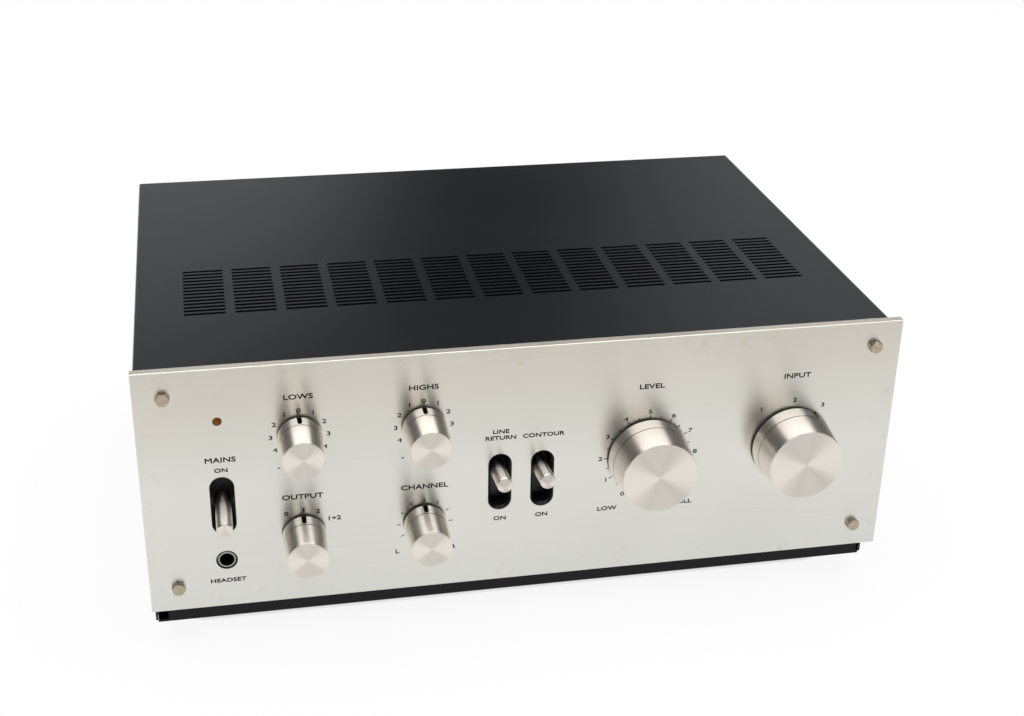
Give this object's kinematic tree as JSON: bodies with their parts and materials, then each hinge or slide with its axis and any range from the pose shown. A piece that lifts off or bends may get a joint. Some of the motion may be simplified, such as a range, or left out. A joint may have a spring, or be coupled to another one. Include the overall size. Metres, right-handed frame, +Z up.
{
  "type": "stereo amplifier",
  "caption": "Integrated stereo amplifier: brushed metal front panel with turned knobs, lever switches, lamp and headphone jack, under a slotted black sheet cover.",
  "frame": {"origin": "on the floor under the middle of the whole outline, feet at Z 0", "axes": "+X to the right seen from the front, +Y towards the rear, +Z up; the controls face -Y"},
  "size_m": [0.3508, 0.278, 0.14],
  "materials": {
    "panel_aluminium": "horizontally brushed and clear anodised",
    "knob_metal": "turned, bright",
    "cover_charcoal": "satin charcoal vinyl paint",
    "chassis_black": "black paint",
    "black_plastic": "moulded black",
    "foot_rubber": "matt",
    "zinc_steel": "zinc plated",
    "bolt_nickel": "aged nickel plate",
    "lamp_amber": "clear amber",
    "jack_metal": "bright nickel plate",
    "core_iron": "varnished laminations",
    "winding_paper": "taped winding",
    "sink_aluminium": "plain extruded",
    "board_phenolic": "phenolic paper",
    "jack_ivory": "moulded ivory"
  },
  "bodies": {
    "case": {"front_panel": "panel_aluminium", "sub_panel": "chassis_black", "chassis": "chassis_black", "rear_panel": "chassis_black", "top_cover": "cover_charcoal", "feet": "foot_rubber", "foot_screws": "zinc_steel", "panel_bolts": "bolt_nickel", "case_screws": "zinc_steel", "slot_liners": "black_plastic", "lamp_lens": "lamp_amber", "lamp_holder": "black_plastic", "phones_jack": "black_plastic", "phones_nut": "jack_metal", "tone_pots": "zinc_steel", "volume_pot": "zinc_steel", "rotary_switches": "zinc_steel", "control_nuts": "zinc_steel", "lever_frames": "chassis_black", "transformer_core": "core_iron", "transformer_winding": "winding_paper", "transformer_bolts": "zinc_steel", "filter_capacitors": "black_plastic", "heat_sink": "sink_aluminium", "output_transistors": "zinc_steel", "amp_board": "board_phenolic", "tone_board": "board_phenolic", "board_spacers": "zinc_steel", "jack_plate": "board_phenolic", "jack_shells": "jack_metal", "jack_inserts": "jack_ivory", "ground_post": "jack_metal", "speaker_terminals": "black_plastic", "terminal_screws": "zinc_steel", "fuse_holder": "black_plastic", "cord_gland": "black_plastic"},
    "bass_knob": {"bass_cap": "knob_metal", "bass_core": "black_plastic", "bass_shaft": "zinc_steel"},
    "treble_knob": {"treble_cap": "knob_metal", "treble_core": "black_plastic", "treble_shaft": "zinc_steel"},
    "balance_knob": {"balance_cap": "knob_metal", "balance_core": "black_plastic", "balance_shaft": "zinc_steel"},
    "speaker_knob": {"speaker_cap": "knob_metal", "speaker_core": "black_plastic", "speaker_shaft": "zinc_steel"},
    "volume_knob": {"volume_cap": "knob_metal", "volume_core": "black_plastic", "volume_shaft": "zinc_steel"},
    "input_knob": {"input_cap": "knob_metal", "input_core": "black_plastic", "input_shaft": "zinc_steel"},
    "power_lever": {"power_handle": "knob_metal", "power_arm": "black_plastic"},
    "tape_lever": {"tape_handle": "knob_metal", "tape_arm": "black_plastic"},
    "contour_lever": {"contour_handle": "knob_metal", "contour_arm": "black_plastic"}
  },
  "joints": [
    {"name": "bass_turn", "type": "hinge", "parent": "case", "child": "bass_knob", "pos_m": [-0.1047, -0.116, 0.1044], "axis": [0, 1, 0], "range_deg": [-150, 150]},
    {"name": "treble_turn", "type": "hinge", "parent": "case", "child": "treble_knob", "pos_m": [-0.0495, -0.116, 0.1044], "axis": [0, 1, 0], "range_deg": [-150, 150]},
    {"name": "balance_turn", "type": "hinge", "parent": "case", "child": "balance_knob", "pos_m": [-0.0495, -0.116, 0.054], "axis": [0, 1, 0], "range_deg": [-150, 150]},
    {"name": "speaker_turn", "type": "hinge", "parent": "case", "child": "speaker_knob", "pos_m": [-0.1047, -0.116, 0.054], "axis": [0, 1, 0], "range_deg": [-30, 60]},
    {"name": "volume_turn", "type": "hinge", "parent": "case", "child": "volume_knob", "pos_m": [0.0555, -0.116, 0.0796], "axis": [0, 1, 0], "range_deg": [0, 300]},
    {"name": "input_turn", "type": "hinge", "parent": "case", "child": "input_knob", "pos_m": [0.1255, -0.116, 0.0796], "axis": [0, 1, 0], "range_deg": [-60, 0]},
    {"name": "power_swing", "type": "hinge", "parent": "case", "child": "power_lever", "pos_m": [-0.1399, -0.086, 0.0722], "axis": [-1, 0, 0], "range_deg": [0, 14.4]},
    {"name": "tape_swing", "type": "hinge", "parent": "case", "child": "tape_lever", "pos_m": [-0.0146, -0.086, 0.0722], "axis": [1, 0, 0], "range_deg": [0, 14.4]},
    {"name": "contour_swing", "type": "hinge", "parent": "case", "child": "contour_lever", "pos_m": [0.0053, -0.086, 0.0722], "axis": [1, 0, 0], "range_deg": [0, 14.4]}
  ]
}
